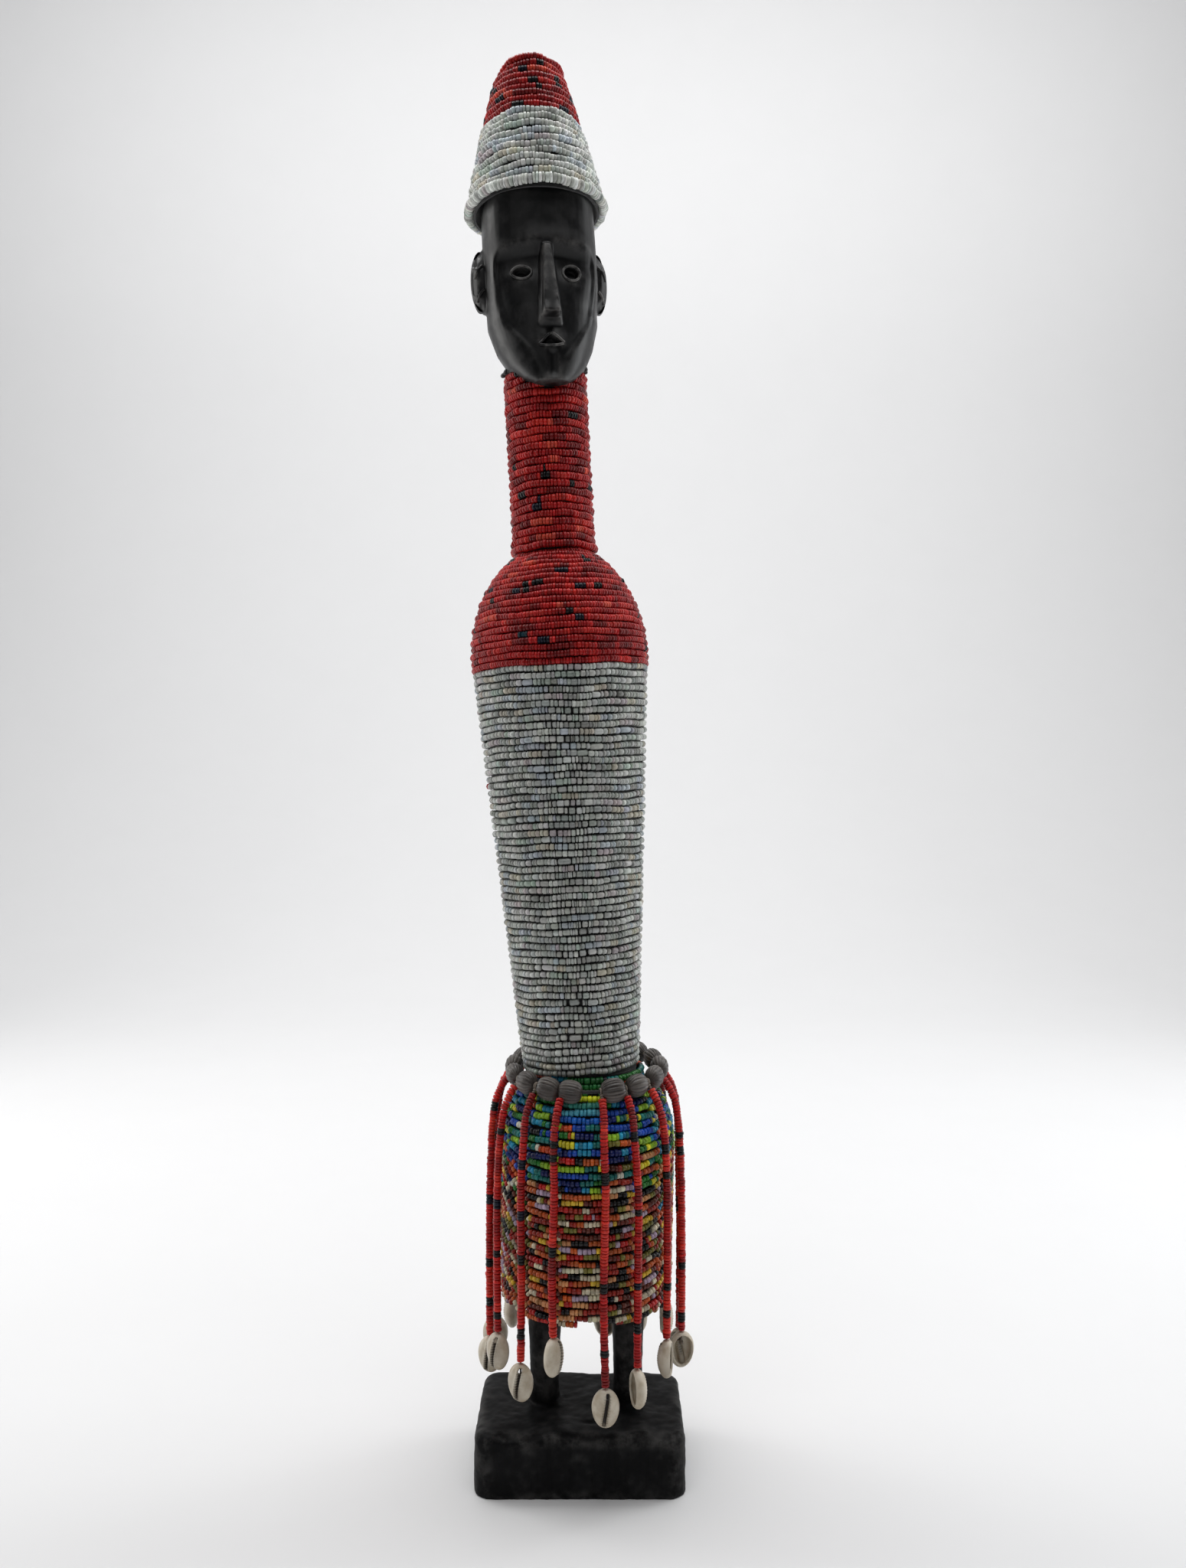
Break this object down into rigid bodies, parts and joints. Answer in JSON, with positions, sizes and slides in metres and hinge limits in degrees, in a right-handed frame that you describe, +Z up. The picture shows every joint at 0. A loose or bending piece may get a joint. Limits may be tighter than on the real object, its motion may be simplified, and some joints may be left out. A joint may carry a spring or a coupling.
{
  "type": "beaded fertility doll",
  "caption": "Tall carved wooden doll wound with glass beads, with a conical beaded cap, a seed belt and a swinging fringe of bead strands ending in cowrie shells.",
  "frame": {"origin": "middle of the block's underside, on the surface that the doll stands on", "axes": "+Z up, the face looks along -Y, +X to the left of the doll as it faces"},
  "size_m": [0.1193, 0.1089, 0.7193],
  "materials": {
    "black_wood": "carved hardwood dyed black and polished by handling, worn dull grey on edges",
    "grey_beads": "opaque grey-white glass seed beads, soft gloss",
    "red_beads": "opaque brick-red glass seed beads with scattered navy-black ones, glossy",
    "mixed_beads": "opaque glass seed beads of many colours, blues and greens above, rust, white and black below",
    "brim_beads": "larger opaque grey glass beads, soft gloss",
    "strand_beads": "glossy red glass beads with black groups, on dark thread",
    "dark_cord": "waxed twisted fibre cord",
    "padding_cloth": "dark cotton cloth wound tight",
    "dark_lining": "stiff dark cloth lining, matte",
    "dark_seeds": "dried ridged seeds, semi matte",
    "cowrie_shell": "grey-beige cowrie shell with soft porcelain gloss, soiled in the grooves"
  },
  "bodies": {
    "figure": {"carved_figure": "black_wood", "torso_bead_wrap": "grey_beads", "shoulder_bead_wrap": "red_beads", "neck_bead_wrap": "red_beads", "neck_cord": "dark_cord", "hip_padding": "padding_cloth", "skirt_bead_wrap": "mixed_beads", "belt_cord": "dark_cord", "belt_seeds": "dark_seeds"},
    "cap": {"cap_lining": "dark_lining", "cap_grey_beads": "grey_beads", "cap_red_beads": "red_beads", "cap_brim_beads": "brim_beads"},
    "strand_01": {"strand_01": "strand_beads"},
    "cowrie_01": {"cowrie_01": "cowrie_shell"},
    "strand_02": {"strand_02": "strand_beads"},
    "cowrie_02": {"cowrie_02": "cowrie_shell"},
    "strand_03": {"strand_03": "strand_beads"},
    "cowrie_03": {"cowrie_03": "cowrie_shell"},
    "strand_04": {"strand_04": "strand_beads"},
    "cowrie_04": {"cowrie_04": "cowrie_shell"},
    "strand_05": {"strand_05": "strand_beads"},
    "cowrie_05": {"cowrie_05": "cowrie_shell"},
    "strand_06": {"strand_06": "strand_beads"},
    "cowrie_06": {"cowrie_06": "cowrie_shell"},
    "strand_07": {"strand_07": "strand_beads"},
    "cowrie_07": {"cowrie_07": "cowrie_shell"},
    "strand_08": {"strand_08": "strand_beads"},
    "cowrie_08": {"cowrie_08": "cowrie_shell"},
    "strand_09": {"strand_09": "strand_beads"},
    "cowrie_09": {"cowrie_09": "cowrie_shell"},
    "strand_10": {"strand_10": "strand_beads"},
    "cowrie_10": {"cowrie_10": "cowrie_shell"},
    "strand_11": {"strand_11": "strand_beads"},
    "cowrie_11": {"cowrie_11": "cowrie_shell"},
    "strand_12": {"strand_12": "strand_beads"},
    "cowrie_12": {"cowrie_12": "cowrie_shell"},
    "strand_13": {"strand_13": "strand_beads"},
    "cowrie_13": {"cowrie_13": "cowrie_shell"},
    "strand_14": {"strand_14": "strand_beads"},
    "cowrie_14": {"cowrie_14": "cowrie_shell"},
    "strand_15": {"strand_15": "strand_beads"},
    "cowrie_15": {"cowrie_15": "cowrie_shell"},
    "strand_16": {"strand_16": "strand_beads"},
    "cowrie_16": {"cowrie_16": "cowrie_shell"}
  },
  "joints": [
    {"name": "cap_lift", "type": "slide", "parent": "figure", "child": "cap", "axis": [-0.0532, 0, 0.9986], "range_m": [0, 0.1]},
    {"name": "strand_01_swing", "type": "hinge", "parent": "figure", "child": "strand_01", "pos_m": [-0.00868, -0.03095, 0.19837], "axis": [-0.9511, 0.309, 0], "range_deg": [0, 75]},
    {"name": "cowrie_01_spin", "type": "hinge", "parent": "strand_01", "child": "cowrie_01", "pos_m": [-0.01253, -0.04221, 0.083], "axis": [0, 0, 1], "range_deg": [-180, 180]},
    {"name": "strand_02_swing", "type": "hinge", "parent": "figure", "child": "strand_02", "pos_m": [0.01054, -0.03204, 0.19827], "axis": [-0.9799, -0.1994, 0], "range_deg": [0, 75]},
    {"name": "cowrie_02_spin", "type": "hinge", "parent": "strand_02", "child": "cowrie_02", "pos_m": [0.0125, -0.04379, 0.0595], "axis": [0, 0, 1], "range_deg": [-180, 180]},
    {"name": "strand_03_swing", "type": "hinge", "parent": "figure", "child": "strand_03", "pos_m": [0.0219, -0.02774, 0.19865], "axis": [-0.866, -0.5, 0], "range_deg": [0, 75]},
    {"name": "cowrie_03_spin", "type": "hinge", "parent": "strand_03", "child": "cowrie_03", "pos_m": [0.02798, -0.03797, 0.066], "axis": [0, 0, 1], "range_deg": [-180, 180]},
    {"name": "strand_04_swing", "type": "hinge", "parent": "figure", "child": "strand_04", "pos_m": [0.03319, -0.01775, 0.19952], "axis": [-0.6018, -0.7986, 0], "range_deg": [0, 75]},
    {"name": "cowrie_04_spin", "type": "hinge", "parent": "strand_04", "child": "cowrie_04", "pos_m": [0.04291, -0.02462, 0.074], "axis": [0, 0, 1], "range_deg": [-180, 180]},
    {"name": "strand_05_swing", "type": "hinge", "parent": "figure", "child": "strand_05", "pos_m": [0.03997, -0.00286, 0.20082], "axis": [-0.2079, -0.9781, 0], "range_deg": [0, 75]},
    {"name": "cowrie_05_spin", "type": "hinge", "parent": "strand_05", "child": "cowrie_05", "pos_m": [0.05156, -0.00557, 0.0695], "axis": [0, 0, 1], "range_deg": [-180, 180]},
    {"name": "strand_06_swing", "type": "hinge", "parent": "figure", "child": "strand_06", "pos_m": [0.04023, 0.01156, 0.20207], "axis": [0.1736, -0.9848, 0], "range_deg": [0, 75]},
    {"name": "cowrie_06_spin", "type": "hinge", "parent": "strand_06", "child": "cowrie_06", "pos_m": [0.0519, 0.0139, 0.062], "axis": [0, 0, 1], "range_deg": [-180, 180]},
    {"name": "strand_07_swing", "type": "hinge", "parent": "figure", "child": "strand_07", "pos_m": [0.03506, 0.02503, 0.20325], "axis": [0.5299, -0.848, 0], "range_deg": [0, 75]},
    {"name": "cowrie_07_spin", "type": "hinge", "parent": "strand_07", "child": "cowrie_07", "pos_m": [0.04532, 0.03106, 0.07], "axis": [0, 0, 1], "range_deg": [-180, 180]},
    {"name": "strand_08_swing", "type": "hinge", "parent": "figure", "child": "strand_08", "pos_m": [0.02468, 0.03596, 0.2042], "axis": [0.8192, -0.5736, 0], "range_deg": [0, 75]},
    {"name": "cowrie_08_spin", "type": "hinge", "parent": "strand_08", "child": "cowrie_08", "pos_m": [0.03133, 0.04583, 0.064], "axis": [0, 0, 1], "range_deg": [-180, 180]},
    {"name": "strand_09_swing", "type": "hinge", "parent": "figure", "child": "strand_09", "pos_m": [0.01086, 0.04197, 0.20472], "axis": [0.9781, -0.2079, 0], "range_deg": [0, 75]},
    {"name": "cowrie_09_spin", "type": "hinge", "parent": "strand_09", "child": "cowrie_09", "pos_m": [0.01348, 0.05358, 0.058], "axis": [0, 0, 1], "range_deg": [-180, 180]},
    {"name": "strand_10_swing", "type": "hinge", "parent": "figure", "child": "strand_10", "pos_m": [-0.00356, 0.04223, 0.20474], "axis": [0.9848, 0.1736, 0], "range_deg": [0, 75]},
    {"name": "cowrie_10_spin", "type": "hinge", "parent": "strand_10", "child": "cowrie_10", "pos_m": [-0.00601, 0.05388, 0.068], "axis": [0, 0, 1], "range_deg": [-180, 180]},
    {"name": "strand_11_swing", "type": "hinge", "parent": "figure", "child": "strand_11", "pos_m": [-0.01703, 0.03706, 0.20429], "axis": [0.848, 0.5299, 0], "range_deg": [0, 75]},
    {"name": "cowrie_11_spin", "type": "hinge", "parent": "strand_11", "child": "cowrie_11", "pos_m": [-0.02311, 0.04729, 0.061], "axis": [0, 0, 1], "range_deg": [-180, 180]},
    {"name": "strand_12_swing", "type": "hinge", "parent": "figure", "child": "strand_12", "pos_m": [-0.02758, 0.02722, 0.20344], "axis": [0.5878, 0.809, 0], "range_deg": [0, 75]},
    {"name": "cowrie_12_spin", "type": "hinge", "parent": "strand_12", "child": "cowrie_12", "pos_m": [-0.03731, 0.03407, 0.072], "axis": [0, 0, 1], "range_deg": [-180, 180]},
    {"name": "strand_13_swing", "type": "hinge", "parent": "figure", "child": "strand_13", "pos_m": [-0.03368, 0.01414, 0.2023], "axis": [0.2419, 0.9703, 0], "range_deg": [0, 75]},
    {"name": "cowrie_13_spin", "type": "hinge", "parent": "strand_13", "child": "cowrie_13", "pos_m": [-0.04514, 0.01737, 0.067], "axis": [0, 0, 1], "range_deg": [-180, 180]},
    {"name": "strand_14_swing", "type": "hinge", "parent": "figure", "child": "strand_14", "pos_m": [-0.03459, 0.00105, 0.20116], "axis": [-0.1045, 0.9945, 0], "range_deg": [0, 75]},
    {"name": "cowrie_14_spin", "type": "hinge", "parent": "strand_14", "child": "cowrie_14", "pos_m": [-0.0464, -0.00043, 0.0645], "axis": [0, 0, 1], "range_deg": [-180, 180]},
    {"name": "strand_15_swing", "type": "hinge", "parent": "figure", "child": "strand_15", "pos_m": [-0.03038, -0.01275, 0.19995], "axis": [-0.4695, 0.8829, 0], "range_deg": [0, 75]},
    {"name": "cowrie_15_spin", "type": "hinge", "parent": "strand_15", "child": "cowrie_15", "pos_m": [-0.04102, -0.01807, 0.0745], "axis": [0, 0, 1], "range_deg": [-180, 180]},
    {"name": "strand_16_swing", "type": "hinge", "parent": "figure", "child": "strand_16", "pos_m": [-0.0213, -0.02396, 0.19898], "axis": [-0.766, 0.6428, 0], "range_deg": [0, 75]},
    {"name": "cowrie_16_spin", "type": "hinge", "parent": "strand_16", "child": "cowrie_16", "pos_m": [-0.02869, -0.03328, 0.0665], "axis": [0, 0, 1], "range_deg": [-180, 180]}
  ]
}
